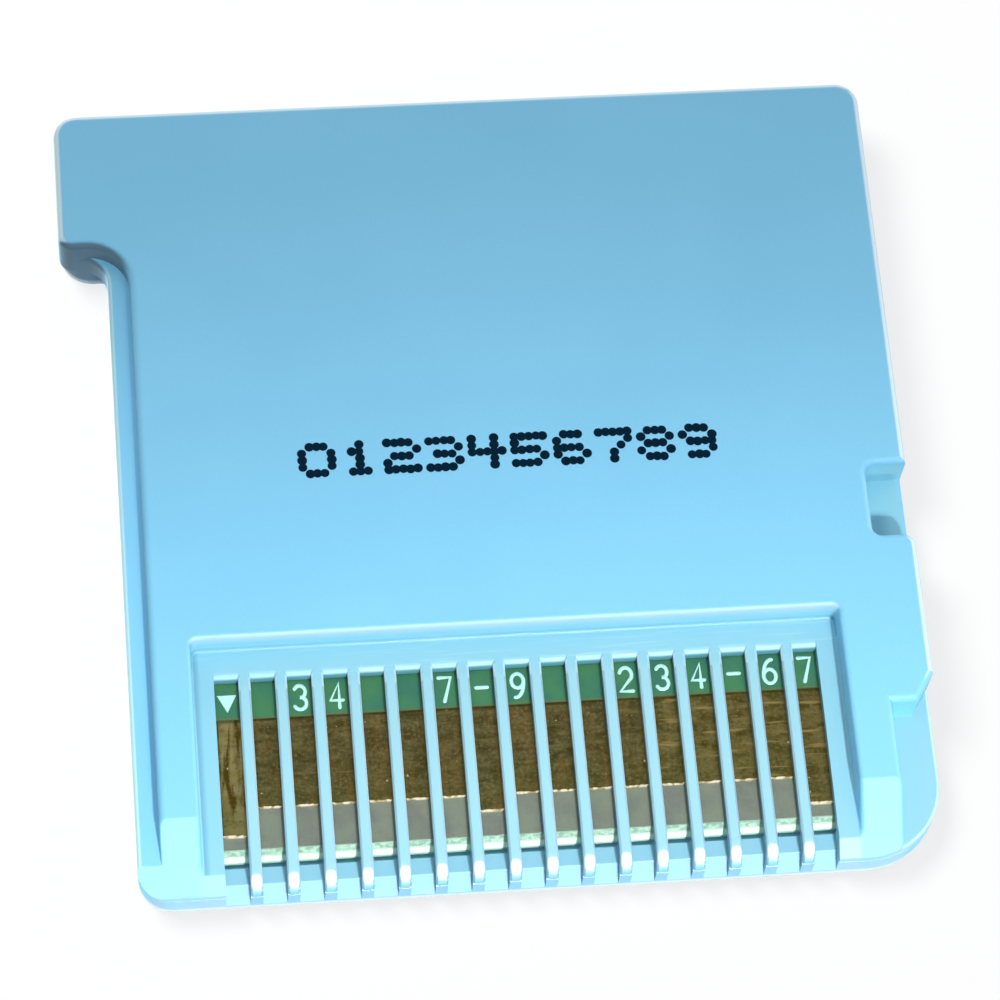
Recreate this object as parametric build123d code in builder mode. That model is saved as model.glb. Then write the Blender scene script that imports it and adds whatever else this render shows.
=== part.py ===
from build123d import *
import os

# Contact comb: the row of slots and ribs over the edge contacts
contact_count = 17
contact_pitch = 1.5
slot_width = 1.0
comb_border = 0.9
comb_thickness = 0.45
recess_length = 10.45
recess_shelf = 1.33
recess_corner_radius = 0.3
recess_edge_radius = 0.2
recess_foot_radius = 0.12
slot_end_radius = 0.35
rib_nose_radius = 0.8
rib_edge_chamfer = 0.08
rib_setback = 0.02

# Plan of the card
card_length = 35.0
left_rail = 1.65
right_rail = 1.75
ledge_width = 0.95
step_width = 1.85
step_length = 6.05
step_bevel_width = 0.78
step_bevel_length = 1.2
notch_depth = 1.75
notch_length = 3.25
notch_start = 13.5
notch_corner_radius = 0.4
notch_mouth_radius = 0.5
tab_reach = 2.0
tab_length = 6.35
front_corner_radius = 1.4
rear_corner_radius = 1.0
rear_tab_radius = 0.6
leading_corner_radius = 3.2
front_root_radius = 0.3
rear_root_radius = 1.25
face_root_radius = 1.8

# Heights through the card, from the label side up
card_thickness = 3.8
front_wall = 0.8
board_support = 0.3
board_thickness = 0.8
contact_thickness = 0.05
board_lap = 0.4
flange_thickness = 0.37
ramp_nose = 0.4
ramp_length = 2.75
ledge_depth = 1.1
rear_wall = 0.8
side_wall = 0.9

# Lip of the front half under the comb
lip_length = 1.25
scoop_length = 0.55
scoop_depth = 0.9

# Rounded and chamfered edges
rear_edge_radius = 0.3
ramp_edge_radius = 0.1
ledge_edge_radius = 0.2
flange_edge_radius = 0.15
seam_chamfer = 0.05
front_edge_radius = 0.3

# Label side
label_margin = 1.2
label_length = 25.0
label_depth = 0.15
label_corner_radius = 0.8
arrow_width = 4.0
arrow_length = 2.6
arrow_gap = 2.4

# Circuit board and its seat
board_overlap = 0.6
board_gap = 0.25
board_clearance = 0.1
board_bevel = 0.4
board_under_bevel = 0.15
board_notch_radius = 1.0
board_notch_start = 18.0
shelf_width = 0.8
post_radius = 0.7
post_inset = 1.4

# Edge contacts, numbered from the tab side
contact_width = 1.06
contact_field = 6.0
contact_length = 3.9
middle_contact_length = 4.6
end_contact_length = 5.1
middle_contact = 8
contact_corner = 0.12

# Parts on the board
chip_clearance = 0.15
chip_edge = 0.15
chip_gap = 2.6
chip_front_gap = 1.6
chip_back_gap = 1.6
chip_mark_radius = 0.4
chip_mark_inset = 1.0
chip_mark_depth = 0.1
rom_width = 11.0
rom_length = 12.0
save_width = 5.0
save_length = 6.0
passive_length = 1.0
passive_width = 0.5
capacitor_height = 0.5
resistor_height = 0.35
passive_cap = 0.25
passive_waist = 0.04
passive_pitch = 1.6
passive_gap = 1.5
capacitor_count = 4
resistor_count = 3

# Places across the card
slot_span = (contact_count - 1) * contact_pitch + slot_width
recess_width = slot_span + 2 * comb_border
body_width = ledge_width + left_rail + recess_width + right_rail + step_width
card_width = body_width + tab_reach
tab_left = -card_width / 2
body_left = tab_left + tab_reach
body_right = card_width / 2
body_center = (body_left + body_right) / 2
rail_left = body_left + ledge_width
comb_center = rail_left + left_rail + recess_width / 2
rail_right = body_right - step_width
rib_width = contact_pitch - slot_width
board_width = recess_width + 2 * board_overlap
board_left = comb_center - board_width / 2
board_right = comb_center + board_width / 2
cavity_left = rail_left + side_wall
cavity_right = body_right - notch_depth - side_wall

# Places along the card
far_edge = card_length / 2
near_edge = -card_length / 2
tab_near = far_edge - tab_length
recess_far = near_edge + recess_length
slot_far = recess_far - recess_shelf
ramp_far = near_edge + ramp_length
step_far = near_edge + step_length
notch_near = near_edge + notch_start
notch_middle = notch_near + notch_length / 2
lip_far = near_edge + lip_length
cavity_near = recess_far + rear_wall
cavity_far = far_edge - side_wall
board_near = lip_far + board_gap
board_far = cavity_near + chip_front_gap + rom_length + chip_back_gap
board_length = board_far - board_near
board_middle = (board_near + board_far) / 2
board_notch = near_edge + board_notch_start
contact_far = board_near + contact_field

# Heights of the joints and floors
board_bottom = front_wall + board_support
board_top = board_bottom + board_thickness
contact_top = board_top + contact_thickness
comb_floor = contact_top + comb_thickness
seam = board_top - board_lap
flange_top = seam + flange_thickness
ramp_end = seam + ramp_nose
ledge_top = card_thickness - ledge_depth
cavity_top = card_thickness - rear_wall
chip_height = cavity_top - chip_clearance - board_top

# Places of the parts on the board
rom_x = board_left + chip_gap + rom_width / 2
rom_y = board_far - chip_back_gap - rom_length / 2
save_x = board_right - chip_gap - save_width / 2
save_y = board_far - chip_back_gap - save_length / 2
capacitor_y = save_y - save_length / 2 - passive_gap
resistor_y = capacitor_y - passive_gap

os.makedirs("parts", exist_ok=True)


def card_outline(side, height, corner_radius, tab_radius, root_radius):
    """Plan of the card at one height, its left side at x = side and the tab at its far end."""
    with BuildSketch(Plane.XY.offset(height)) as outline:
        with Locations(((side + body_right) / 2, 0)):
            Rectangle(body_right - side, card_length)
        with Locations(((tab_left + side) / 2, (tab_near + far_edge) / 2)):
            Rectangle(side - tab_left, tab_length)
        corners = {
            (tab_left, far_edge): corner_radius,
            (body_right, far_edge): corner_radius,
            (tab_left, tab_near): tab_radius,
            (side, tab_near): root_radius,
            (side, near_edge): corner_radius,
            (body_right, near_edge): leading_corner_radius,
        }
        for place, radius in corners.items():
            fillet(outline.vertices().sort_by_distance(place)[0], radius)
    return outline.sketch


def board_field(height):
    """Plan of the room for the board: its outline with clearance, and bumps in its side notches."""
    with BuildSketch(Plane.XY.offset(height)) as field:
        with Locations((comb_center, lip_far)):
            Rectangle(
                board_width + 2 * board_clearance,
                board_far + board_clearance - lip_far,
                align=(Align.CENTER, Align.MIN),
            )
        with Locations((board_left, board_notch), (board_right, board_notch)):
            Circle(board_notch_radius - board_clearance, mode=Mode.SUBTRACT)
    return field.sketch


# Wedge that the ramp takes off the contact edge
with BuildPart() as ramp:
    with BuildSketch(Plane.YZ):
        with BuildLine():
            Polyline(
                (ramp_far, card_thickness),
                (near_edge, ramp_end),
                (near_edge, card_thickness),
                close=True,
            )
        make_face()
    extrude(amount=card_width, both=True)

# Room of the contact recess, rounded at the foot of its walls
with BuildPart() as recess:
    with BuildSketch(Plane.XY.offset(comb_floor)):
        with Locations((comb_center, recess_far)):
            RectangleRounded(
                recess_width,
                2 * recess_length,
                recess_corner_radius,
                align=(Align.CENTER, Align.MAX),
            )
    extrude(amount=card_thickness)
    fillet(recess.faces().sort_by(Axis.Z)[0].edges(), recess_foot_radius)

# Scoop in the lip in front of one contact
with BuildPart() as scoop:
    with BuildSketch(Plane.YZ.offset(comb_center)):
        with BuildLine():
            Polyline(
                (near_edge + scoop_length, seam),
                (near_edge, seam - scoop_depth),
                (near_edge, seam),
                close=True,
            )
        make_face()
    extrude(amount=slot_width / 2, both=True)

# One rib of the comb, with a rounded nose that drops onto the lip
with BuildPart() as rib:
    with BuildSketch(Plane.YZ.offset(comb_center)) as rib_side:
        with BuildLine():
            Polyline(
                (slot_far + recess_shelf / 2, contact_top),
                (slot_far + recess_shelf / 2, comb_floor),
                (near_edge + rib_setback, comb_floor),
                (near_edge + rib_setback, seam),
                (lip_far, seam),
                (lip_far, contact_top),
                close=True,
            )
        make_face()
        fillet(rib_side.vertices().group_by(Axis.Y)[-1].sort_by(Axis.X)[0], rib_nose_radius)
    extrude(amount=rib_width / 2, both=True)
    chamfer(rib.faces().sort_by(Axis.Z)[-1].edges().filter_by(Axis.Y), rib_edge_chamfer)

# Front half of the case: a tray with the board's shelf, and the lip under the comb
with BuildPart() as front_shell:
    add(card_outline(body_left, 0, front_corner_radius, front_corner_radius, front_root_radius))
    extrude(amount=seam)
    fillet(front_shell.faces().sort_by(Axis.Z)[0].edges(), front_edge_radius)
    chamfer(front_shell.faces().sort_by(Axis.Z)[-1].edges(), seam_chamfer)
    add(board_field(board_bottom))
    extrude(amount=seam - board_bottom, mode=Mode.SUBTRACT)
    with BuildSketch(Plane.XY.offset(front_wall)) as under_board:
        with Locations((comb_center, board_middle)):
            Rectangle(board_width - 2 * shelf_width, board_length - 2 * shelf_width)
            Rectangle(shelf_width, board_length, mode=Mode.SUBTRACT)
        with Locations((comb_center, contact_far), (comb_center, contact_far - contact_length)):
            Rectangle(board_width, shelf_width, mode=Mode.SUBTRACT)
    extrude(amount=board_support, mode=Mode.SUBTRACT)
    with GridLocations(contact_pitch, 1, contact_count, 1):
        add(scoop.part, mode=Mode.SUBTRACT)
    with BuildSketch(Plane.XY) as label_field:
        with Locations((body_center, far_edge - label_margin)):
            RectangleRounded(
                body_width - 2 * label_margin,
                label_length,
                label_corner_radius,
                align=(Align.CENTER, Align.MAX),
            )
        with BuildLine():
            Polyline(
                (body_center - arrow_width / 2, near_edge + arrow_gap + arrow_length),
                (body_center + arrow_width / 2, near_edge + arrow_gap + arrow_length),
                (body_center, near_edge + arrow_gap),
                close=True,
            )
        make_face()
    extrude(amount=label_depth, mode=Mode.SUBTRACT)
front_shell.part.label = "front_shell"
export_step(front_shell.part, "parts/front_shell.step")

# Rear half of the case: rear face, ledge, notch, step, ramp and the comb over the contacts
with BuildPart() as rear_shell:
    add(card_outline(body_left, seam, rear_corner_radius, rear_tab_radius, rear_root_radius))
    extrude(amount=ledge_top - seam)
    fillet(rear_shell.faces().sort_by(Axis.Z)[-1].edges(), ledge_edge_radius)
    add(card_outline(rail_left, seam, rear_corner_radius, rear_tab_radius, face_root_radius))
    extrude(amount=card_thickness - seam)
    chamfer(rear_shell.faces().sort_by(Axis.Z)[0].edges(), seam_chamfer)
    with BuildSketch(Plane.XY.offset(flange_top)) as step_and_notch:
        with BuildLine():
            Polyline(
                (rail_right, near_edge),
                (rail_right, step_far),
                (body_right - step_bevel_width, step_far),
                (body_right, step_far + step_bevel_length),
                (body_right, near_edge),
                close=True,
            )
        make_face()
        with Locations((body_right, notch_middle)):
            RectangleRounded(2 * notch_depth, notch_length, notch_corner_radius)
    extrude(amount=card_thickness, mode=Mode.SUBTRACT)
    mouth_place = (body_right, notch_near, cavity_top)
    notch_mouth = rear_shell.edges().filter_by(Axis.Z).sort_by_distance(mouth_place)[0]
    fillet(notch_mouth, notch_mouth_radius)
    add(ramp.part, mode=Mode.SUBTRACT)
    ramp_edge, *rear_rim = rear_shell.faces().sort_by(Axis.Z)[-1].edges().sort_by(Axis.Y)
    fillet(rear_rim, rear_edge_radius)
    ramp_middle = (rail_right, (ramp_far + near_edge) / 2, (card_thickness + ramp_end) / 2)
    ramp_side = rear_shell.edges().sort_by_distance(ramp_middle)[0]
    fillet(ramp_side, ramp_edge_radius)
    step_place = (body_right, step_far, flange_top)
    step_rim = rear_shell.edges().filter_by(Axis.Y).sort_by_distance(step_place)[0]
    fillet(step_rim, flange_edge_radius)
    add(recess.part, mode=Mode.SUBTRACT)
    recess_rim = rear_shell.edges().sort_by_distance((comb_center, recess_far, card_thickness))[0]
    fillet(recess_rim, recess_edge_radius)
    add(board_field(seam))
    extrude(amount=contact_top - seam, mode=Mode.SUBTRACT)
    with BuildSketch(Plane.XY.offset(seam)) as window:
        with Locations((comb_center, slot_far)):
            Rectangle(slot_span, 2 * recess_length, align=(Align.CENTER, Align.MAX))
    extrude(amount=card_thickness, mode=Mode.SUBTRACT)
    slot_ends = rear_shell.edges().sort_by_distance((comb_center, slot_far, comb_floor))[0]
    fillet(slot_ends, slot_end_radius)
    with GridLocations(contact_pitch, 1, contact_count - 1, 1):
        add(rib.part)
    with BuildSketch(Plane.XY.offset(seam)) as cavity:
        with Locations((cavity_left, cavity_near)):
            Rectangle(
                cavity_right - cavity_left,
                cavity_far - cavity_near,
                align=(Align.MIN, Align.MIN),
            )
    extrude(amount=cavity_top - seam, mode=Mode.SUBTRACT)
    with BuildSketch(Plane.XY.offset(board_top)) as posts:
        with Locations(
            (board_left + post_inset, board_far - post_inset),
            (board_right - post_inset, board_far - post_inset),
            (board_left + post_inset, cavity_near + post_inset),
            (board_right - post_inset, cavity_near + post_inset),
        ):
            Circle(post_radius)
    extrude(amount=cavity_top - board_top)
rear_shell.part.label = "rear_shell"
export_step(rear_shell.part, "parts/rear_shell.step")

# Circuit board, bevelled where it enters the socket
with BuildPart() as circuit_board:
    with BuildSketch(Plane.XY.offset(board_bottom)) as board_plan:
        with Locations((comb_center, board_middle)):
            Rectangle(board_width, board_length)
        with Locations((board_left, board_notch), (board_right, board_notch)):
            Circle(board_notch_radius, mode=Mode.SUBTRACT)
    extrude(amount=board_thickness)
    leading_face = circuit_board.faces().sort_by(Axis.Y)[0]
    under_edge, *_, upper_edge = leading_face.edges().sort_by(Axis.Z)
    chamfer(upper_edge, board_bevel)
    chamfer(under_edge, board_under_bevel)
circuit_board.part.label = "circuit_board"
export_step(circuit_board.part, "parts/circuit_board.step")

# Edge contacts with clipped corners: the end ones reach furthest, then the middle one
for number in range(1, contact_count + 1):
    name = f"contact_{number:02d}"
    contact_x = comb_center + (number - (contact_count + 1) / 2) * contact_pitch
    length = contact_length
    if number in (1, contact_count):
        length = end_contact_length
    if number == middle_contact:
        length = middle_contact_length
    with BuildPart() as contact:
        with BuildSketch(Plane.XY.offset(board_top)) as contact_plan:
            with Locations((contact_x, contact_far)):
                Rectangle(contact_width, length, align=(Align.CENTER, Align.MAX))
            chamfer(contact_plan.vertices().group_by(Axis.Y)[0], contact_corner)
        extrude(amount=contact_thickness)
    contact.part.label = name
    export_step(contact.part, f"parts/{name}.step")

# Memory chips, with a round mark at one corner
chips = {
    "rom_chip": (rom_x, rom_y, rom_width, rom_length),
    "save_chip": (save_x, save_y, save_width, save_length),
}
for name, (chip_x, chip_y, chip_width, chip_length) in chips.items():
    with BuildPart() as chip:
        with BuildSketch(Plane.XY.offset(board_top)):
            with Locations((chip_x, chip_y)):
                Rectangle(chip_width, chip_length)
        extrude(amount=chip_height)
        chip_face = chip.faces().sort_by(Axis.Z)[-1]
        chamfer(chip_face.edges(), chip_edge)
        mark_x = chip_x - chip_width / 2 + chip_mark_inset
        mark_y = chip_y + chip_length / 2 - chip_mark_inset
        with BuildSketch(Plane.XY.offset(board_top + chip_height)):
            with Locations((mark_x, mark_y)):
                Circle(chip_mark_radius)
        extrude(amount=-chip_mark_depth, mode=Mode.SUBTRACT)
    chip.part.label = name
    export_step(chip.part, f"parts/{name}.step")

# Rows of capacitors and resistors: a narrow body between two end caps
passive_rows = (
    ("capacitor", capacitor_count, capacitor_height, capacitor_y),
    ("resistor", resistor_count, resistor_height, resistor_y),
)
standing = (Align.CENTER, Align.CENTER, Align.MIN)
for kind, count, height, row_y in passive_rows:
    for number in range(1, count + 1):
        name = f"{kind}_{number}"
        passive_x = save_x + (number - (count + 1) / 2) * passive_pitch
        cap_reach = (passive_length - passive_cap) / 2
        with BuildPart() as passive:
            with Locations((passive_x, row_y, board_top)):
                Box(
                    passive_length,
                    passive_width - 2 * passive_waist,
                    height - passive_waist,
                    align=standing,
                )
            with Locations(
                (passive_x - cap_reach, row_y, board_top),
                (passive_x + cap_reach, row_y, board_top),
            ):
                Box(passive_cap, passive_width, height, align=standing)
        passive.part.label = name
        export_step(passive.part, f"parts/{name}.step")
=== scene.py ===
import math
import random

import bmesh
import bpy
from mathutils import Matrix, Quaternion, Vector


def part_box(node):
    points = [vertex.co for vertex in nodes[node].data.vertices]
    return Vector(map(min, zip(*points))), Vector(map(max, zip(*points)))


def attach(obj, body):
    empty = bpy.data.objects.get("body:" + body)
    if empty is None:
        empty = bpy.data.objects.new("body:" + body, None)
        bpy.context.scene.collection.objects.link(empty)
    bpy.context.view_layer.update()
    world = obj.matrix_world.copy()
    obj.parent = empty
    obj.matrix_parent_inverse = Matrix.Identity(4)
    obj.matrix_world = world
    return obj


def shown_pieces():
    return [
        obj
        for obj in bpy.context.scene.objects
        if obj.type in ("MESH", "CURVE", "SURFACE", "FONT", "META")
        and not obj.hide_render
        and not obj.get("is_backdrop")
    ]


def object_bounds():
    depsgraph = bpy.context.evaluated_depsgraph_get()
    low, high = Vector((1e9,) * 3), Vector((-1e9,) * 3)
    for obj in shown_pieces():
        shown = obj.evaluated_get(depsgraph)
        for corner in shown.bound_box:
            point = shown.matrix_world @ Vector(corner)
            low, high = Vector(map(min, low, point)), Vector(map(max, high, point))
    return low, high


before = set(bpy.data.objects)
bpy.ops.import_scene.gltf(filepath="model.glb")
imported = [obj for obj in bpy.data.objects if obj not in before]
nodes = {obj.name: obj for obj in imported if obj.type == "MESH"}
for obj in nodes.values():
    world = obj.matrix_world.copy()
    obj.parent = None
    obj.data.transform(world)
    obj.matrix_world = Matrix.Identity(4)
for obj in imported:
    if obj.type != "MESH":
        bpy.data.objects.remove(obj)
cad_low, cad_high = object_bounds()
MM = 0.001

# Camera, fitted to the photograph
camera_place = Vector((-15.345, -72.884, 166.322)) * MM
camera_aim = Vector((0.280, -1.584, 3.8)) * MM
camera_roll = math.radians(8.346)
camera_lens = 154.245
camera_sensor = 36.0
clip_near = 1 * MM
clip_far = 10.0

# Boxes and contact places read from the frame
board_low, board_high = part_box("circuit_board")
first_low, first_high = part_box("contact_01")
second_low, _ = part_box("contact_02")
rear_low, rear_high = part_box("rear_shell")
contact_names = sorted(name for name in nodes if name.startswith("contact_"))
contact_pitch = second_low.x - first_low.x
first_x = (first_low.x + first_high.x) / 2
contact_far = first_high.y

# The same places in millimetres, as the finishes take them
tab_left = rear_low.x / MM
near_edge = rear_low.y / MM
seam = rear_low.z / MM
right_side = rear_high.x / MM
rear_face = rear_high.z / MM
board_near = board_low.y / MM
comb_middle = (board_low.x + board_high.x) / 2 / MM
contact_line = first_x / MM
line_pitch = contact_pitch / MM
contact_end = contact_far / MM

# Contact recess in the rear face, with the ramp, slots and ribs of the comb, in millimetres
recess_width = 26.8
recess_left = comb_middle - recess_width / 2
recess_far = near_edge + 10.45
recess_floor = 2.4
ramp_far = near_edge + 2.75
comb_width = 25.0
slot_far = near_edge + 9.12
# Painted highlight on the rib noses: its middle, reach, width, foot, shape and fade; the foot also bounds the
# sill
nose_middle = near_edge + 0.40
nose_reach = 0.26
nose_width = 0.42
nose_foot = 1.76
nose_power = 3.0
nose_fade = (0.1, 1.7)

# Outline of the case in millimetres: body, ledge and tab on the left, notch and step on the right
body_left = tab_left + 2.0
ledge_side = body_left + 0.95
tab_near = near_edge + 28.65
notch_side = right_side - 1.75
notch_near = near_edge + 13.5
notch_far = notch_near + 3.25
step_far = near_edge + 6.05
flange_top = seam + 0.37
leading_corner = 3.2
# Height up to which the bottom of the case carries a painted highlight
low_rim_top = 0.5
# Where the painted light on the ledge begins and where it is full
ledge_dull = -12.0
ledge_bright = 0.0

# Two close tones of the plastic, then the coats over them in their order, as screen colour and share; many
# coats are painted shade or painted highlights
plastic_tones = ((131, 206, 243), (134, 209, 246))
pale = (228, 244, 250)
case_coats = {
    "grain": ((114, 192, 230), 0.10),
    "edge": ((178, 232, 252), 0.12),
    "dust": ((80, 120, 140), 0.40),
    "recess_skin": ((144, 200, 212), 0.75),
    "streaks": (pale, 0.12),
    "foot_shade": ((80, 136, 164), 0.50),
    # painted shade at the foot of the recess's far wall
    "recess_foot_shade": ((96, 156, 186), 0.70),
    # painted highlight on the far rim of the recess
    "recess_rim_highlight": (pale, 0.40),
    "notch": ((152, 212, 225), 0.75),
    # painted shadow of the notch's near wall on the notch floor
    "notch_corner_shadow": ((66, 118, 146), 0.45),
    "step": ((146, 190, 214), 0.60),
    # painted light: the ledge floor lighter towards the far end
    "ledge": ((148, 224, 255), 0.30),
    "ribs": ((228, 240, 222), 0.08),
    # painted highlight on the rounded edges of the ribs
    "rib_edge_highlight": (pale, 0.35),
    "sill": ((108, 176, 204), 0.40),
    # painted shade on the side walls of the ribs
    "rib_side_shade": ((62, 112, 128), 0.55),
    # painted shade on the wall under the tab
    "under_tab_shade": ((58, 70, 78), 0.75),
    "near_wall": ((196, 214, 218), 0.35),
    # painted highlight on the upper lip of each slot's far end
    "slot_lip_highlight": (pale, 0.50),
    # painted shade on the lower wall of each slot's far end
    "slot_wall_shade": ((58, 118, 134), 0.80),
    # painted highlight on the rounded outer rim of the rear face
    "top_rim_highlight": (pale, 0.70),
    # painted highlight on the rounded left edge of the body
    "left_rim_highlight": ((200, 244, 255), 0.85),
    # painted highlight on the rounded left edge of the tab
    "tab_rim_highlight": ((222, 248, 255), 0.90),
    # painted highlight on the flange's rounded rim at the leading corner
    "flange_rim_highlight": (pale, 0.40),
    # painted shade on the lower part of the step's bevel
    "step_bevel_shade": ((76, 130, 152), 0.50),
    # painted highlight on the lowest part of the case's sides
    "low_rim_highlight": (pale, 0.75),
    # painted highlight on the rib noses
    "nose": ((250, 252, 255), 0.90),
}

# Relief of the finishes, and what the recess loses in roughness and keeps of the case's relief
edge_round = 0.04 * MM
fine_relief = 0.004 * MM
gold_relief = 0.006 * MM
recess_polish = 0.14
recess_relief = 0.3

# Contacts with wipe marks across them, counted from the last
wiped_count = 5

# Dot print on the rear face
dot_pitch = 0.305 * MM
dot_radius = 0.2 * MM
dot_height = 0.010 * MM
dot_rim = 0.004 * MM
dot_sides = 24
dot_rings = 4
dot_slip_x = 0.02 * MM
dot_slip_y = 0.015 * MM
dot_spread = (0.94, 1.05)
character_pitch = 1.778 * MM
print_left = -8.0 * MM + dot_radius
print_bottom = -0.15 * MM + dot_radius
print_seed = 7

# White marks on the board
mark_height = 1.22 * MM
mark_width = 0.68 * MM
mark_stroke = 0.17 * MM
mark_thickness = 0.012 * MM
mark_middle = contact_far + 0.86 * MM
turn_steps = 14
pointer_half = 0.4 * MM
pointer_top = 0.36 * MM
pointer_tip = -0.40 * MM
pointer_drop = 0.1 * MM

# Spots from the contact end as direction, aim and level; their soft edge crosses the rear face
spot_distance = 0.5
spot_radius = 0.012
spot_none = 6.0 * MM
spot_full = -10.0 * MM
key_spot = (Vector((0.2, -0.95, 1.0)), Vector((0.02, -0.2, 0.0)), 0.90)
front_spot = (Vector((0.1, -1.0, 0.35)), Vector((0.027, -0.3, 0.0)), 0.42)

# Soft light: the sky from the horizon to overhead, and square lamps as direction, size and level
sky_low = 0.04
sky_high = 0.84
lamp_distance = 0.5
right_rim = ((0.90, 0.42, 0.12), 0.15, 0.4)
far_rim = ((-0.3, 0.95, 0.12), 0.15, 0.4)
left_bounce = ((-0.6, 0.3, -0.74), 0.1, 1.5)
floor_lamp = ((-0.5, 0.3, 1.0), 0.2, 1.33)

# Floor: its reach, its gap under the card, the light it throws back, and its shadow catch and glow
floor_reach = 1.5
floor_gap = 0.02 * MM
floor_bounce = 0.08
floor_catch = 0.13
floor_glow = 0.78


def colour(red, green, blue):
    """A screen colour in 0 to 255 as the linear colour that a shader takes."""
    linear = []
    for value in (red, green, blue):
        share = value / 255
        linear.append(share / 12.92 if share <= 0.04045 else ((share + 0.055) / 1.055) ** 2.4)
    return (*linear, 1.0)


class Finish:
    """A material under construction, with short calls that add and join its nodes."""

    def __init__(self, name, roughness=0.5, metallic=0.0, specular=0.5):
        self.material = bpy.data.materials.new(name)
        self.material.use_nodes = True
        self.tree = self.material.node_tree
        self.shader = self.tree.nodes["Principled BSDF"]
        self.shader.inputs["Roughness"].default_value = roughness
        self.shader.inputs["Metallic"].default_value = metallic
        self.shader.inputs["Specular IOR Level"].default_value = specular
        coordinates = self.tree.nodes.new("ShaderNodeTexCoord")
        self.place = self.vector("SCALE", coordinates.outputs["Object"], scale=1 / MM)
        self.x, self.y, self.z = self.split(self.place)
        self.sidewards, self.lengthwise, self.slope = self.split(coordinates.outputs["Normal"])
        self.across, self.along, _ = self.split(coordinates.outputs["Generated"])

    def split(self, vector):
        node = self.tree.nodes.new("ShaderNodeSeparateXYZ")
        self.feed(node.inputs[0], vector)
        return node.outputs

    def feed(self, socket, value):
        """A number, a colour or another node's output goes into a socket."""
        if isinstance(value, bpy.types.NodeSocket):
            self.tree.links.new(value, socket)
        else:
            socket.default_value = value

    def vector(self, operation, first, second=None, scale=None):
        node = self.tree.nodes.new("ShaderNodeVectorMath")
        node.operation = operation
        self.feed(node.inputs[0], first)
        if second is not None:
            self.feed(node.inputs[1], second)
        if scale is not None:
            self.feed(node.inputs["Scale"], scale)
        return node.outputs["Value" if operation == "DOT_PRODUCT" else "Vector"]

    def math(self, operation, first, second=0.0):
        node = self.tree.nodes.new("ShaderNodeMath")
        node.operation = operation
        self.feed(node.inputs[0], first)
        self.feed(node.inputs[1], second)
        return node.outputs[0]

    def times(self, *values):
        """The product of several masks or numbers."""
        product = values[0]
        for value in values[1:]:
            product = self.math("MULTIPLY", product, value)
        return product

    def distance(self, value, place):
        """How far a value lies from a place, on either side."""
        return self.math("ABSOLUTE", self.math("SUBTRACT", value, place))

    def between(self, value, start, end, low=0.0, high=1.0):
        """Smooth step from low at start to high at end."""
        node = self.tree.nodes.new("ShaderNodeMapRange")
        node.interpolation_type = "SMOOTHSTEP"
        self.feed(node.inputs["Value"], value)
        node.inputs["From Min"].default_value = start
        node.inputs["From Max"].default_value = end
        node.inputs["To Min"].default_value = low
        node.inputs["To Max"].default_value = high
        return node.outputs["Result"]

    def above(self, value, border, soft):
        """Mask of the values over a border that is soft to both sides."""
        return self.between(value, border - soft, border + soft)

    def below(self, value, border, soft):
        """Mask of the values under a border that is soft to both sides."""
        return self.between(value, border + soft, border - soft)

    def band(self, value, start, end, soft):
        """Mask of the stretch from start to end, with soft borders."""
        return self.times(self.above(value, start, soft), self.below(value, end, soft))

    def noise(self, scale, detail=2.0, stretch=(1, 1, 1), wander=0.0):
        """Noise with the given number of lumps in each millimetre."""
        node = self.tree.nodes.new("ShaderNodeTexNoise")
        node.inputs["Scale"].default_value = scale
        node.inputs["Detail"].default_value = detail
        node.inputs["Distortion"].default_value = wander
        self.feed(node.inputs["Vector"], self.vector("MULTIPLY", self.place, stretch))
        return node.outputs["Fac"]

    def specks(self, scale, size, core=0.6):
        """Mask of sparse round specks of a radius in millimetres, full in their core."""
        node = self.tree.nodes.new("ShaderNodeTexVoronoi")
        node.inputs["Scale"].default_value = scale
        self.feed(node.inputs["Vector"], self.place)
        return self.between(node.outputs["Distance"], size * scale, core * size * scale)

    def mix(self, share, first, second):
        node = self.tree.nodes.new("ShaderNodeMix")
        node.data_type = "RGBA"
        self.feed(node.inputs["Factor"], share)
        self.feed(node.inputs["A"], first)
        self.feed(node.inputs["B"], second)
        return node.outputs["Result"]

    def edges(self, radius):
        """The normal rounded over sharp edges, and a mask of where that turns it."""
        bevel = self.tree.nodes.new("ShaderNodeBevel")
        bevel.samples = 4
        bevel.inputs["Radius"].default_value = radius
        geometry = self.tree.nodes.new("ShaderNodeNewGeometry")
        turned = self.vector("DOT_PRODUCT", bevel.outputs["Normal"], geometry.outputs["Normal"])
        return bevel.outputs["Normal"], self.between(turned, 0.995, 0.85)

    def bump(self, height, distance, strength=1.0, normal=None):
        node = self.tree.nodes.new("ShaderNodeBump")
        node.inputs["Strength"].default_value = strength
        node.inputs["Distance"].default_value = distance
        self.feed(node.inputs["Height"], height)
        if normal is not None:
            self.feed(node.inputs["Normal"], normal)
        return node.outputs["Normal"]

    def set(self, **sockets):
        """Sets or links the shader's sockets, named with underscores for spaces."""
        for name, value in sockets.items():
            self.feed(self.shader.inputs[name.replace("_", " ")], value)
        return self.material


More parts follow.
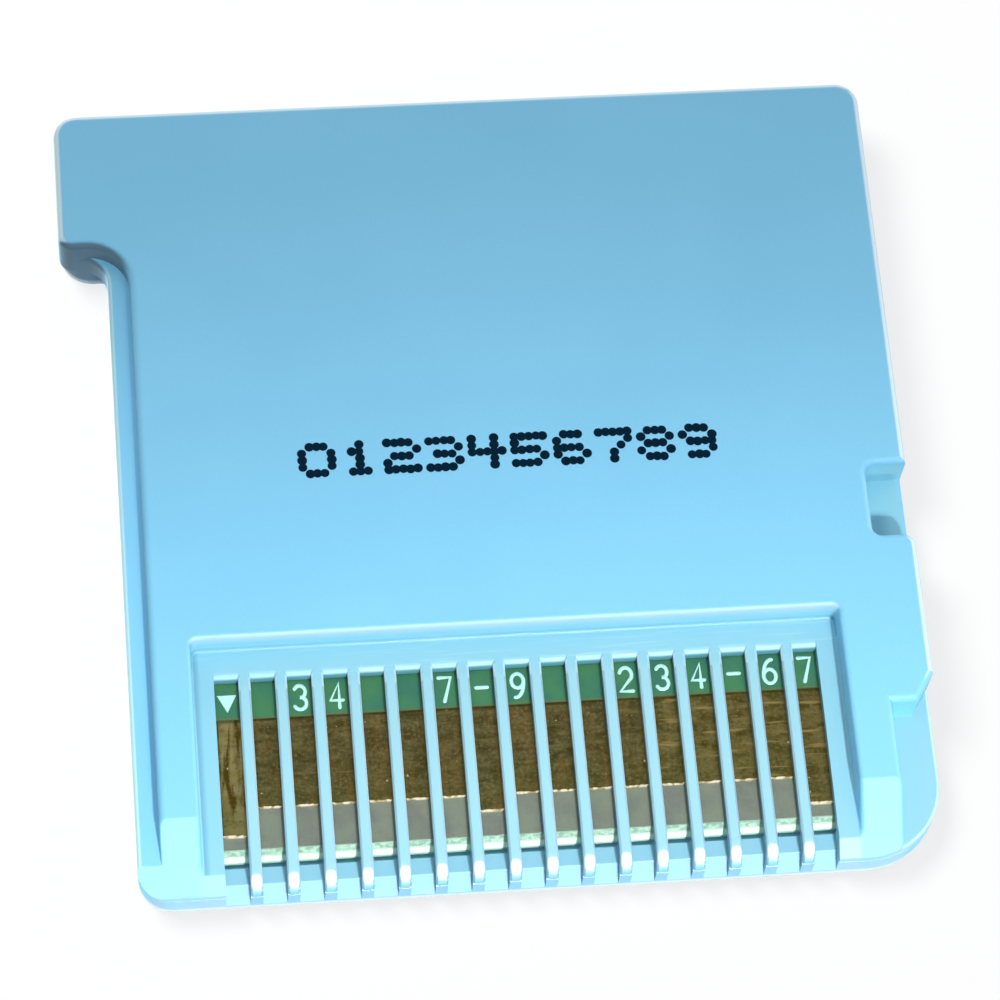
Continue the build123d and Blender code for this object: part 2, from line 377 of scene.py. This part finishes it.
class CaseFinish(Finish):
    """The finish of the case, with a mask for each coat that is laid on in a place of its own."""

    def __init__(self, name):
        super().__init__(name, specular=0.4)
        from_middle = self.distance(self.x, comb_middle)
        self.level = self.above(self.slope, 0.95, soft=0.02)
        self.tilted = self.below(self.slope, 0.86, soft=0.11)
        self.in_recess = self.below(from_middle, recess_width / 2, soft=0.1)
        self.in_comb = self.below(from_middle, comb_width / 2, soft=0.02)
        self.inside = self.times(self.in_recess, self.below(self.y, recess_far, soft=0.1))

    def recess_masks(self):
        """Skin of the recess with its drag marks, painted shade at its left foot and at the foot of its far
        wall, and a painted highlight on its far rim.
        """
        before_ramp = self.above(self.y, ramp_far, soft=0.1)
        skin = self.times(self.inside, self.math("MAXIMUM", before_ramp, self.level))
        drag = self.noise(2.0, detail=3.0, stretch=(0.12, 3.0, 1))
        streaks = self.times(
            skin,
            self.between(drag, 0.5, 0.7),
            self.above(self.y, slot_far + 0.1, soft=0.2),
        )
        shade = self.times(
            self.inside,
            self.level,
            self.below(self.x, recess_left + 0.25, soft=0.15),
        )
        # Painted shade along the foot of the recess's far wall
        foot = self.times(
            self.inside,
            self.tilted,
            self.above(self.y, slot_far + 0.45, soft=0.15),
            self.below(self.z, recess_floor + 0.275, soft=0.075),
        )
        # Painted highlight on the far rim of the recess
        rim = self.times(
            self.in_recess,
            self.tilted,
            self.band(self.y, recess_far - 0.15, recess_far + 0.3, soft=0.05),
            self.above(self.z, rear_face - 0.55, soft=0.35),
        )
        return dict(recess_skin=skin, streaks=streaks, foot_shade=shade, recess_foot_shade=foot, recess_rim_highlight=rim)

    def comb_masks(self):
        """Painted highlights on the rib edges and on the lips of the slots' far ends, painted shade on the
        rib sides and on the lower walls of those ends, and tones of the ribs and of the sill below the noses.
        """
        ribs = self.times(self.in_comb, self.below(self.y, slot_far - 0.35, soft=0.25))
        slot_end = self.times(
            self.in_comb,
            self.tilted,
            self.band(self.y, slot_far - 0.5, slot_far + 0.1, soft=0.05),
        )
        sill = self.times(
            self.in_comb,
            self.below(self.y, board_near + 0.05, soft=0.05),
            self.below(self.z, nose_foot, soft=0.1),
        )
        return dict(
            ribs=ribs,
            # Painted highlight on the rounded edges of the ribs
            rib_edge_highlight=self.times(ribs, self.band(self.slope, 0.4, 0.92, soft=0.06)),
            # Painted shade on the side walls of the ribs
            rib_side_shade=self.times(ribs, self.above(self.math("ABSOLUTE", self.sidewards), 0.7, soft=0.2)),
            # Painted highlight on the upper lip of each slot's far end
            slot_lip_highlight=self.times(slot_end, self.above(self.z, recess_floor - 0.10, soft=0.04)),
            # Painted shade on the lower wall of each slot's far end
            slot_wall_shade=self.times(slot_end, self.below(self.z, recess_floor - 0.16, soft=0.06)),
            sill=sill,
        )

    def nose_masks(self):
        """Round painted highlight on the nose of each rib, which stands halfway between two contacts."""
        half_pitch = line_pitch / 2
        from_contact = self.math("PINGPONG", self.math("SUBTRACT", self.x, contact_line), half_pitch)
        from_rib = self.math("SUBTRACT", half_pitch, from_contact)
        from_nose = self.distance(self.y, nose_middle)
        sideways = self.math("POWER", self.times(from_rib, 2 / nose_width), nose_power)
        lengthways = self.math("POWER", self.times(from_nose, 1 / nose_reach), nose_power)
        full, none = nose_fade
        # Painted highlight on the rounded nose of each rib
        nose = self.times(
            self.in_comb,
            self.between(self.math("ADD", sideways, lengthways), none, full),
            self.above(self.z, nose_foot + 0.02, soft=0.1),
        )
        return dict(nose=nose)

    def right_masks(self):
        """The notch, with a painted shadow in its corner, and the step at the leading corner, with painted
        shade on its bevel.
        """
        notch = self.times(
            self.band(self.x, notch_side, right_side - 0.1, soft=0.1),
            self.band(self.y, notch_near - 0.1, notch_far + 0.1, soft=0.1),
            self.below(self.z, rear_face - 0.35, soft=0.15),
        )
        # Painted shadow cast by the notch's near wall on its floor
        notch_corner_shadow = self.times(
            notch,
            self.level,
            self.below(self.x, notch_side + 0.95, soft=0.45),
            self.below(self.y, notch_near + 1.75, soft=0.15),
        )
        step = self.times(
            self.level,
            self.above(self.x, notch_side - 0.15, soft=0.15),
            self.below(self.y, step_far + 1.3, soft=0.1),
            self.below(self.z, rear_face - 1.25, soft=0.25),
        )
        # Painted shade on the lower part of the step's bevel
        bevel = self.times(
            self.above(self.sidewards, 0.3, soft=0.1),
            self.below(self.lengthwise, -0.3, soft=0.1),
            self.band(self.y, step_far - 0.1, step_far + 1.3, soft=0.1),
            self.below(self.z, flange_top + 0.8, soft=0.5),
        )
        return dict(notch=notch, notch_corner_shadow=notch_corner_shadow, step=step, step_bevel_shade=bevel)

    def left_masks(self):
        """The ledge, painted lighter towards its far end, painted shade on the wall under the tab, and
        painted highlights on the outer edges of both.
        """
        # Painted light: the ledge floor is lightened from ledge_dull to ledge_bright
        ledge = self.times(
            self.level,
            self.below(self.x, ledge_side + 0.35, soft=0.05),
            self.below(self.z, rear_face - 0.75, soft=0.15),
            self.between(self.y, ledge_dull, ledge_bright),
        )
        # Painted shade on the wall under the tab
        under_tab_shade = self.times(
            self.below(self.x, ledge_side + 1.05, soft=0.3),
            self.above(self.y, tab_near - 2.95, soft=0.3),
            self.below(self.lengthwise, -0.35, soft=0.25),
        )
        rounded = self.times(
            self.above(self.lengthwise, -0.375, soft=0.125),
            self.above(self.slope, 0.15, soft=0.1),
        )
        # Painted highlight on the rounded left edge of the body
        left_rim_highlight = self.times(
            rounded,
            self.below(self.sidewards, -0.175, soft=0.125),
            self.below(self.x, body_left + 0.45, soft=0.1),
            self.above(self.z, seam + 0.4, soft=0.2),
            self.below(self.y, tab_near - 0.7, soft=0.35),
        )
        # Painted highlight on the rounded left edge of the tab
        tab_rim_highlight = self.times(
            rounded,
            self.below(self.sidewards, -0.3, soft=0.2),
            self.below(self.x, body_left - 0.95, soft=0.25),
        )
        return dict(ledge=ledge, under_tab_shade=under_tab_shade, left_rim_highlight=left_rim_highlight, tab_rim_highlight=tab_rim_highlight)

    def outer_masks(self):
        """The near wall beside the comb, and painted highlights on the outer rims, along the bottom and on
        the flange at the leading corner.
        """
        near_wall = self.times(
            self.below(self.lengthwise, -0.8, soft=0.1),
            self.below(self.y, near_edge + 0.45, soft=0.15),
            self.math("SUBTRACT", 1.0, self.in_comb),
        )
        reach = self.math("MAXIMUM", self.math("ABSOLUTE", self.x), self.y)
        # Painted highlight on the rounded outer rim of the rear face
        top_rim_highlight = self.times(
            self.between(self.slope, 0.9995, 0.94),
            self.above(self.z, rear_face - 0.275, soft=0.125),
            self.above(reach, right_side - 0.35, soft=0.15),
            self.above(self.lengthwise, -0.275, soft=0.125),
            self.above(self.sidewards, -0.4, soft=0.2),
        )
        # Painted highlight on the lowest part of the case's sides
        low_rim_highlight = self.times(
            self.below(self.z, low_rim_top, soft=0.15),
            self.above(self.slope, -0.5, soft=0.2),
        )
        past_x = self.math("MAXIMUM", self.math("SUBTRACT", self.x, right_side - leading_corner), 0.0)
        past_y = self.math("MAXIMUM", self.math("SUBTRACT", near_edge + leading_corner, self.y), 0.0)
        squares = self.math("ADD", self.times(past_x, past_x), self.times(past_y, past_y))
        from_corner = self.math("SQRT", squares)
        # Painted highlight on the flange's rounded rim at the leading corner
        flange_rim_highlight = self.times(
            self.above(self.sidewards, 0.15, soft=0.1),
            self.band(self.slope, 0.25, 0.95, soft=0.05),
            self.above(from_corner, leading_corner - 0.325, soft=0.075),
            self.below(self.z, flange_top + 0.1, soft=0.05),
        )
        return dict(near_wall=near_wall, top_rim_highlight=top_rim_highlight, low_rim_highlight=low_rim_highlight, flange_rim_highlight=flange_rim_highlight)


def case_plastic():
    """Pale blue moulded plastic: fine spark texture, smoother in the recess, pale at worn edges, with painted
    highlights and painted shade in many places.
    """
    finish = CaseFinish("case_plastic")
    rounded, edge = finish.edges(edge_round)
    cloud = finish.noise(0.12)
    grain = finish.noise(9.0, detail=3.0)
    masks = dict(grain=finish.between(grain, 0.3, 0.7), edge=edge, dust=finish.specks(0.22, 0.035))
    masks.update(finish.recess_masks())
    masks.update(finish.comb_masks())
    masks.update(finish.nose_masks())
    masks.update(finish.right_masks())
    masks.update(finish.left_masks())
    masks.update(finish.outer_masks())
    first, second = plastic_tones
    tone = finish.mix(finish.between(cloud, 0.35, 0.65), colour(*first), colour(*second))
    for name, (coat, share) in case_coats.items():
        tone = finish.mix(finish.times(masks[name], share), tone, colour(*coat))
    smoother = finish.between(finish.inside, 0.0, 1.0, 0.0, recess_polish)
    flatter = finish.between(finish.inside, 0.0, 1.0, 1.0, recess_relief)
    return finish.set(
        Base_Color=tone,
        Roughness=finish.math("SUBTRACT", finish.between(grain, 0.2, 0.8, 0.42, 0.52), smoother),
        Normal=finish.bump(finish.times(grain, flatter), fine_relief, 0.5, rounded),
    )


def board_laminate():
    """Circuit board: green solder mask behind the contacts, bare grey laminate and a scraped bevel."""
    finish = Finish("board_laminate", specular=0.4)
    weave = finish.times(
        finish.noise(3.0, stretch=(1, 4, 1)),
        finish.noise(3.0, stretch=(4, 1, 1)),
    )
    cloud = finish.noise(0.9, detail=3.0)
    patches = finish.between(cloud, 0.3, 0.7)
    mask_tone = finish.mix(patches, colour(44, 110, 88), colour(58, 121, 78))
    mask_edge = finish.band(finish.y, contact_end, contact_end + 0.12, soft=0.03)
    mask_tone = finish.mix(finish.times(mask_edge, 0.8), mask_tone, colour(92, 118, 68))
    bare_tone = finish.mix(patches, colour(104, 112, 104), colour(116, 127, 110))
    threads = finish.between(weave, 0.15, 0.4, 0.0, 0.25)
    bare_tone = finish.mix(threads, bare_tone, colour(126, 136, 122))
    scraped = finish.noise(4.5, detail=4.0, stretch=(1, 1.6, 1))
    ragged = finish.math("ADD", finish.y, finish.times(scraped, 0.16))
    bevel_tone = finish.mix(finish.between(scraped, 0.34, 0.66), colour(112, 150, 132), colour(156, 194, 168))
    bevel_end = finish.below(ragged, board_near + 0.25, soft=0.05)
    bevel_tone = finish.mix(bevel_end, bevel_tone, colour(206, 238, 214))
    tone = finish.mix(finish.above(finish.y, contact_end, soft=0.02), bare_tone, mask_tone)
    tone = finish.mix(finish.below(ragged, board_near + 0.48, soft=0.04), tone, bevel_tone)
    return finish.set(
        Base_Color=tone,
        Roughness=finish.between(cloud, 0.2, 0.8, 0.40, 0.5),
        Normal=finish.bump(weave, fine_relief, 0.3),
    )


def worn_gold(name, dark, light, streak_tone, streaked, wiped):
    """Gold plating worn to brown, with shares of streaks along the contact and wipe marks across it."""
    finish = Finish(name, metallic=1.0)
    patch = finish.noise(1.6, detail=5.0, stretch=(0.6, 1.5, 1))
    fibre = finish.noise(1.6, detail=3.0, stretch=(1.8, 0.22, 1), wander=0.6)
    grit = finish.noise(7.0, stretch=(1, 1.2, 1))
    wipe = finish.noise(2.6, detail=3.0, stretch=(0.2, 1.8, 1))
    fleck = finish.noise(4.5, detail=1.0)
    near_half = finish.between(finish.along, 0.5, 0.1, 0.0, 0.4)
    far_end = finish.between(finish.along, 0.965, 0.985, 0.0, 0.6)
    ragged = finish.math("SUBTRACT", finish.along, finish.between(fleck, 0.3, 0.7, 0.0, 0.008))
    near_tone = finish.mix(finish.between(fleck, 0.35, 0.6), colour(190, 172, 124), colour(250, 240, 210))
    tone = finish.mix(finish.between(patch, 0.35, 0.65), colour(*dark), colour(*light))
    tone = finish.mix(near_half, tone, colour(86, 88, 46))
    tone = finish.mix(finish.between(fibre, 0.45, 0.62, 0.0, streaked), tone, colour(*streak_tone))
    tone = finish.mix(finish.between(grit, 0.52, 0.72, 0.0, 0.45), tone, colour(132, 120, 84))
    tone = finish.mix(finish.between(grit, 0.46, 0.30, 0.0, 0.40), tone, colour(56, 51, 26))
    tone = finish.mix(finish.between(wipe, 0.56, 0.70, 0.0, wiped), tone, colour(146, 128, 80))
    tone = finish.mix(finish.between(fleck, 0.77, 0.81, 0.0, 0.8), tone, colour(206, 190, 150))
    tone = finish.mix(far_end, tone, colour(52, 44, 18))
    tone = finish.mix(finish.between(ragged, 0.022, 0.012), tone, near_tone)
    return finish.set(
        Base_Color=tone,
        Roughness=finish.between(patch, 0.2, 0.8, 0.36, 0.5),
        Normal=finish.bump(finish.math("ADD", wipe, patch), gold_relief, 0.5),
    )


def plain_finish(name, first, second, scale, roughness, specular=0.5):
    """Two close tones in a fine mottle with a little relief."""
    finish = Finish(name, roughness=roughness, specular=specular)
    mottle = finish.noise(scale, detail=3.0)
    return finish.set(
        Base_Color=finish.mix(finish.between(mottle, 0.3, 0.7), colour(*first), colour(*second)),
        Normal=finish.bump(mottle, fine_relief, 0.4),
    )


def passive_finish(name, body_tone):
    """A small part's body with bright tinned ends."""
    finish = Finish(name, roughness=0.4)
    tinned = finish.above(finish.distance(finish.across, 0.5), 0.25, soft=0.01)
    mottle = finish.noise(12.0)
    body = finish.mix(finish.between(mottle, 0.3, 0.7, 0.0, 0.4), colour(*body_tone), colour(30, 28, 26))
    return finish.set(
        Base_Color=finish.mix(tinned, body, colour(196, 198, 200)),
        Metallic=tinned,
        Normal=finish.bump(mottle, fine_relief, 0.4),
    )


def dress(name, material):
    """A CAD node takes a material."""
    mesh = nodes[name].data
    mesh.materials.clear()
    mesh.materials.append(material)


def add_piece(name, shape, material):
    """A finished bmesh becomes a piece of the object on its only body."""
    mesh = bpy.data.meshes.new(name)
    shape.to_mesh(mesh)
    shape.free()
    mesh.materials.append(material)
    piece = bpy.data.objects.new(name, mesh)
    bpy.context.scene.collection.objects.link(piece)
    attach(piece, "root")


# Finishes of the CAD nodes
plastic = case_plastic()
dress("front_shell", plastic)
dress("rear_shell", plastic)
dress("circuit_board", board_laminate())
plain_gold = worn_gold(
    "worn_gold",
    dark=(72, 68, 36),
    light=(98, 93, 58),
    streak_tone=(120, 96, 50),
    streaked=0.4,
    wiped=0.2,
)
streaked_gold = worn_gold(
    "streaked_gold",
    dark=(124, 116, 66),
    light=(146, 137, 94),
    streak_tone=(72, 60, 10),
    streaked=0.95,
    wiped=0.0,
)
wiped_gold = worn_gold(
    "wiped_gold",
    dark=(78, 72, 30),
    light=(112, 103, 60),
    streak_tone=(120, 112, 72),
    streaked=0.25,
    wiped=0.9,
)
wiped_contacts = contact_names[-wiped_count:]
for name in contact_names:
    if name == contact_names[0]:
        dress(name, streaked_gold)
    elif name in wiped_contacts:
        dress(name, wiped_gold)
    else:
        dress(name, plain_gold)
chip_epoxy = plain_finish("chip_epoxy", (30, 31, 33), (44, 45, 48), scale=8.0, roughness=0.55)
ceramic = passive_finish("capacitor_ceramic", (150, 116, 82))
film = passive_finish("resistor_film", (36, 36, 40))
for name in nodes:
    if name.endswith("_chip"):
        dress(name, chip_epoxy)
    if name.startswith("capacitor"):
        dress(name, ceramic)
    if name.startswith("resistor"):
        dress(name, film)

# Row of digits printed in ink dots, each character five dots wide and five high
digit_rows = {
    "0": (".###.", "#...#", "#...#", "#...#", ".###."),
    "1": ("..#..", ".##..", "..#..", "..#..", ".###."),
    "2": ("####.", "....#", ".###.", "#....", "#####"),
    "3": ("####.", "....#", ".###.", "....#", "####."),
    "4": ("#..#.", "#..#.", "#####", "...#.", "...#."),
    "5": ("#####", "#....", "####.", "....#", "####."),
    "6": (".###.", "#....", "####.", "#...#", ".###."),
    "7": ("#####", "....#", "...#.", "..#..", "..#.."),
    "8": (".###.", "#...#", ".###.", "#...#", ".###."),
    "9": (".###.", "#...#", ".####", "....#", ".###."),
}
printed_digits = "0123456789"


def ring(shape, centre, radius, height):
    """A round of vertices at a height above a centre."""
    angles = [2 * math.pi * side / dot_sides for side in range(dot_sides)]
    return [
        shape.verts.new(centre + Vector((radius * math.cos(a), radius * math.sin(a), height)))
        for a in angles
    ]


def add_dot(shape, centre, radius):
    """One flat drop of dried ink: a low dome on a thin rim, closed underneath."""
    rings = [ring(shape, centre, radius, 0)]
    for step in range(dot_rings):
        tilt = step / dot_rings * math.pi / 2
        height = dot_rim + (dot_height - dot_rim) * math.sin(tilt)
        rings.append(ring(shape, centre, radius * math.cos(tilt), height))
    top = shape.verts.new(centre + Vector((0, 0, dot_height)))
    for lower, upper in zip(rings, rings[1:]):
        for side in range(dot_sides):
            after = (side + 1) % dot_sides
            shape.faces.new((lower[side], lower[after], upper[after], upper[side])).smooth = True
    for side in range(dot_sides):
        shape.faces.new((rings[-1][side], rings[-1][(side + 1) % dot_sides], top)).smooth = True
    shape.faces.new(list(reversed(rings[0])))


spread = random.Random(print_seed)
ink = bmesh.new()
for place, digit in enumerate(printed_digits):
    for row, dots in enumerate(reversed(digit_rows[digit])):
        for column, dot in enumerate(dots):
            if dot == "#":
                x = print_left + place * character_pitch + column * dot_pitch
                y = print_bottom + row * dot_pitch
                x += spread.uniform(-dot_slip_x, dot_slip_x)
                y += spread.uniform(-dot_slip_y, dot_slip_y)
                add_dot(ink, Vector((x, y, rear_high.z)), dot_radius * spread.uniform(*dot_spread))
ink_finish = plain_finish("print_ink", (0, 26, 44), (1, 34, 54), scale=10.0, roughness=0.85, specular=0.06)
add_piece("printed_digits", ink, ink_finish)

# White marks on the board: a triangle at the first contact, then single digits and dashes
mark_finish = plain_finish("mark_ink", (180, 236, 228), (196, 244, 238), scale=9.0, roughness=0.55)
contact_marks = {3: "3", 4: "4", 7: "7", 8: "-", 9: "9", 12: "2", 13: "3", 14: "4", 15: "-", 16: "6", 17: "7"}


def turn(centre, reach, start, end):
    """Points along an elliptic arc, with angles in degrees."""
    points = []
    for step in range(turn_steps + 1):
        angle = math.radians(start + (end - start) * step / turn_steps)
        points.append((centre[0] + reach[0] * math.cos(angle), centre[1] + reach[1] * math.sin(angle)))
    return points


# Strokes in a box one wide and one high around the origin
six = turn((0.25, -0.2), (0.75, 0.7), 90, 170) + turn((0, -0.2), (0.5, 0.3), 190, 520)
digit_strokes = {
    "-": [(-0.45, 0), (0.45, 0)],
    "2": turn((0, 0.2), (0.5, 0.3), 160, -30) + [(-0.5, -0.5), (0.5, -0.5)],
    "3": turn((0, 0.24), (0.45, 0.26), 150, -80) + turn((0, -0.24), (0.5, 0.26), 80, -150),
    "4": [(0.22, -0.5), (0.22, 0.5), (-0.5, -0.2), (0.5, -0.2)],
    "6": six,
    "7": [(-0.5, 0.5), (0.5, 0.5), (-0.12, -0.5)],
    "9": [(-x, -y) for x, y in six],
}

# Steps of a stroke's round end as reach and width, in shares of half the stroke
round_steps = ((1.0, 0.05), (0.7, 0.71))


def round_ends(path, half):
    """The points of a path with the width at each, drawn in to a round end at both ends."""
    first = (path[0] - path[1]).normalized() * half
    last = (path[-1] - path[-2]).normalized() * half
    start = [(path[0] + first * reach, width) for reach, width in round_steps]
    finish = [(path[-1] + last * reach, width) for reach, width in reversed(round_steps)]
    return start + [(point, 1.0) for point in path] + finish


def stroke_mark(sign, centre):
    """A digit or dash as one stroke of raised ink, flat underneath."""
    half = mark_stroke / 2
    width, height = mark_width - mark_stroke, mark_height - mark_stroke
    points = round_ends([Vector((x * width, y * height, 0)) for x, y in digit_strokes[sign]], half)
    curve = bpy.data.curves.new("stroke", "CURVE")
    curve.dimensions = "3D"
    curve.bevel_depth = half
    curve.bevel_resolution = 2
    curve.use_fill_caps = True
    spline = curve.splines.new("POLY")
    spline.points.add(len(points) - 1)
    for knot, (point, thickness) in zip(spline.points, points):
        knot.co = (*point, 1.0)
        knot.radius = thickness
    carrier = bpy.data.objects.new("stroke", curve)
    tube = bpy.data.meshes.new_from_object(carrier)
    shape = bmesh.new()
    shape.from_mesh(tube)
    for vertex in shape.verts:
        vertex.co.z = max(vertex.co.z, 0) / half * mark_thickness
        vertex.co += centre
    bpy.data.objects.remove(carrier)
    bpy.data.curves.remove(curve)
    bpy.data.meshes.remove(tube)
    return shape


def pointer_mark(centre):
    """A flat triangle of ink that points at the first contact."""
    outline = [(-pointer_half, pointer_top), (0.0, pointer_tip), (pointer_half, pointer_top)]
    shape = bmesh.new()
    lower = [shape.verts.new(centre + Vector((x, y, 0))) for x, y in outline]
    upper = [shape.verts.new(centre + Vector((x, y, mark_thickness))) for x, y in outline]
    shape.faces.new(upper)
    shape.faces.new(list(reversed(lower)))
    for start in range(len(outline)):
        after = (start + 1) % len(outline)
        shape.faces.new((lower[start], lower[after], upper[after], upper[start]))
    return shape


pointer_place = Vector((first_x, mark_middle - pointer_drop, board_high.z))
add_piece("mark_01", pointer_mark(pointer_place), mark_finish)
for number, sign in contact_marks.items():
    centre = Vector((first_x + (number - 1) * contact_pitch, mark_middle, board_high.z))
    add_piece(f"mark_{number:02d}", stroke_mark(sign, centre), mark_finish)


def grey(level):
    """A neutral linear colour."""
    return (level, level, level, 1)


def seen_share(tree):
    """1 for rays that show the background: from the camera, reflected or passed on."""
    path = tree.nodes.new("ShaderNodeLightPath")
    share = path.outputs["Is Camera Ray"]
    for ray in ("Is Glossy Ray", "Is Transmission Ray"):
        either = tree.nodes.new("ShaderNodeMath")
        either.operation = "MAXIMUM"
        tree.links.new(share, either.inputs[0])
        tree.links.new(path.outputs[ray], either.inputs[1])
        share = either.outputs[0]
    return share


# Floor: white to the camera and in reflections, dim for light that it throws back
floor_corners = ((-1, -1), (1, -1), (1, 1), (-1, 1))
floor_mesh = bpy.data.meshes.new("floor")
floor_mesh.from_pydata(
    [(x * floor_reach, y * floor_reach, cad_low.z - floor_gap) for x, y in floor_corners],
    [],
    [(0, 1, 2, 3)],
)
floor = bpy.data.objects.new("floor", floor_mesh)
bpy.context.scene.collection.objects.link(floor)
floor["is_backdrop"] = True

floor_finish = bpy.data.materials.new("floor")
floor_finish.use_nodes = True
tree = floor_finish.node_tree
tree.nodes.clear()
output = tree.nodes.new("ShaderNodeOutputMaterial")
dim = tree.nodes.new("ShaderNodeBsdfDiffuse")
dim.inputs["Color"].default_value = grey(floor_bounce)
catcher = tree.nodes.new("ShaderNodeBsdfDiffuse")
catcher.inputs["Color"].default_value = grey(floor_catch)
glow = tree.nodes.new("ShaderNodeEmission")
glow.inputs["Strength"].default_value = floor_glow
bright = tree.nodes.new("ShaderNodeAddShader")
tree.links.new(catcher.outputs[0], bright.inputs[0])
tree.links.new(glow.outputs[0], bright.inputs[1])
choose = tree.nodes.new("ShaderNodeMixShader")
tree.links.new(seen_share(tree), choose.inputs[0])
tree.links.new(dim.outputs[0], choose.inputs[1])
tree.links.new(bright.outputs[0], choose.inputs[2])
tree.links.new(choose.outputs[0], output.inputs["Surface"])
floor_mesh.materials.append(floor_finish)

# World: white behind everything, as a light brighter overhead than at the horizon
world = bpy.data.worlds.new("studio")
bpy.context.scene.world = world
world.use_nodes = True
tree = world.node_tree
sky = tree.nodes["Background"]
sky.inputs["Color"].default_value = grey(1)
direction = tree.nodes.new("ShaderNodeSeparateXYZ")
tree.links.new(tree.nodes.new("ShaderNodeTexCoord").outputs["Generated"], direction.inputs[0])
light_level = tree.nodes.new("ShaderNodeMapRange")
light_level.inputs["To Min"].default_value = sky_low
light_level.inputs["To Max"].default_value = sky_high
tree.links.new(direction.outputs["Z"], light_level.inputs["Value"])
strength = tree.nodes.new("ShaderNodeMapRange")
strength.inputs["To Max"].default_value = 1.0
tree.links.new(light_level.outputs["Result"], strength.inputs["To Min"])
tree.links.new(seen_share(tree), strength.inputs["Value"])
tree.links.new(strength.outputs["Result"], sky.inputs["Strength"])


def place_lamp(lamp, place, aim, receivers, blockers=None):
    """A lamp looks at its aim and lights only its receivers; with blockers of its own it shows no glint."""
    holder = bpy.data.objects.new(lamp.name, lamp)
    bpy.context.scene.collection.objects.link(holder)
    holder.location = place
    holder.rotation_mode = "QUATERNION"
    holder.rotation_quaternion = (place - aim).to_track_quat("Z", "Y")
    holder.light_linking.receiver_collection = receivers
    holder.light_linking.blocker_collection = blockers
    holder.visible_glossy = blockers is None


def soft_lamp(name, setting, receivers, blockers=None):
    """A square lamp; its level is the brightness of a white face turned to it."""
    towards, size, level = setting
    lamp = bpy.data.lights.new(name, "AREA")
    lamp.size = size
    lamp.energy = level * math.pi ** 2 * lamp_distance ** 2
    place = Vector(towards).normalized() * lamp_distance
    place_lamp(lamp, place, Vector((0, 0, 0)), receivers, blockers)


def spot_lamp(name, setting, receivers):
    """A spot from the contact end, full on the comb and fading out across the rear face."""
    towards, aim, level = setting
    place = towards.normalized() * spot_distance
    widest, full = (
        math.cos((Vector((0, y, rear_high.z)) - place).angle(aim - place)) for y in (spot_none, spot_full)
    )
    lamp = bpy.data.lights.new(name, "SPOT")
    lamp.shadow_soft_size = spot_radius
    lamp.spot_size = 2 * math.acos(widest)
    lamp.spot_blend = (full - widest) / (1 - widest)
    lamp.energy = level * 4 * math.pi ** 2 * spot_distance ** 2
    place_lamp(lamp, place, aim, receivers)


# Lamps for the card and for the floor; the floor doesn't stand in the way of the one below it
card_parts = bpy.data.collections.new("card_parts")
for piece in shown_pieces():
    card_parts.objects.link(piece)
ground = bpy.data.collections.new("ground")
ground.objects.link(floor)
spot_lamp("key", key_spot, card_parts)
spot_lamp("front", front_spot, card_parts)
soft_lamp("right_rim", right_rim, card_parts)
soft_lamp("far_rim", far_rim, card_parts)
soft_lamp("left_bounce", left_bounce, card_parts, blockers=card_parts)
soft_lamp("floor_lamp", floor_lamp, ground)

# Camera
camera = bpy.data.objects.new("camera", bpy.data.cameras.new("camera"))
bpy.context.scene.collection.objects.link(camera)
camera.data.sensor_width = camera_sensor
camera.data.lens = camera_lens
camera.data.clip_start = clip_near
camera.data.clip_end = clip_far
view_direction = (camera_aim - camera_place).normalized()
level_turn = view_direction.to_track_quat("-Z", "Y")
camera.location = camera_place
camera.rotation_mode = "QUATERNION"
camera.rotation_quaternion = Quaternion(view_direction, -camera_roll) @ level_turn
bpy.context.scene.camera = camera
bpy.context.scene.view_settings.view_transform = "Standard"
